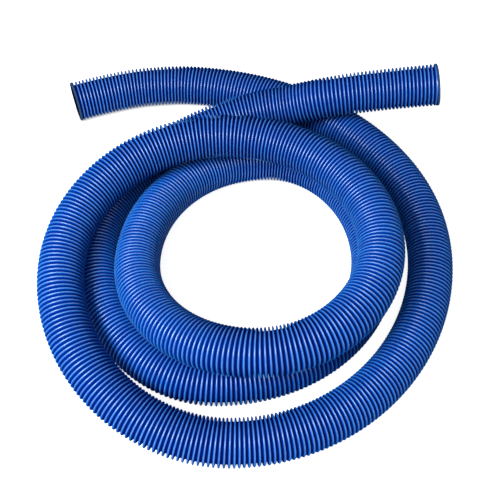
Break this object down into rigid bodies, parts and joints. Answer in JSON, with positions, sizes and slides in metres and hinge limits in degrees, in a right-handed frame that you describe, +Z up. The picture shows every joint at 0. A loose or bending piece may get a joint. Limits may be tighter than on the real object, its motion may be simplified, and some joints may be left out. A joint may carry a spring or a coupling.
{
  "type": "vacuum hose",
  "caption": "Bare corrugated blue suction hose with a smooth bore, lying in loose round turns with both plain cut ends free.",
  "frame": {"origin": "on the floor under the middle of the hose's outline", "axes": "+Z up from the floor, +Y away from the side that shows the coil's wide lower turns, towards the two free ends, +X to the right"},
  "size_m": [0.4603, 0.5472, 0.1159],
  "materials": {
    "ribbed_wall": "smooth glossy blue extruded plastic, its ribs a little worn on their crests",
    "inner_ply": "smooth grey-blue inner ply, nearly black inside the bore"
  },
  "bodies": {
    "root": {"coil_wall": "ribbed_wall", "left_tail_wall": "ribbed_wall", "right_tail_wall": "ribbed_wall", "coil_liner": "inner_ply", "left_tail_liner": "inner_ply", "right_tail_liner": "inner_ply"}
  },
  "joints": []
}
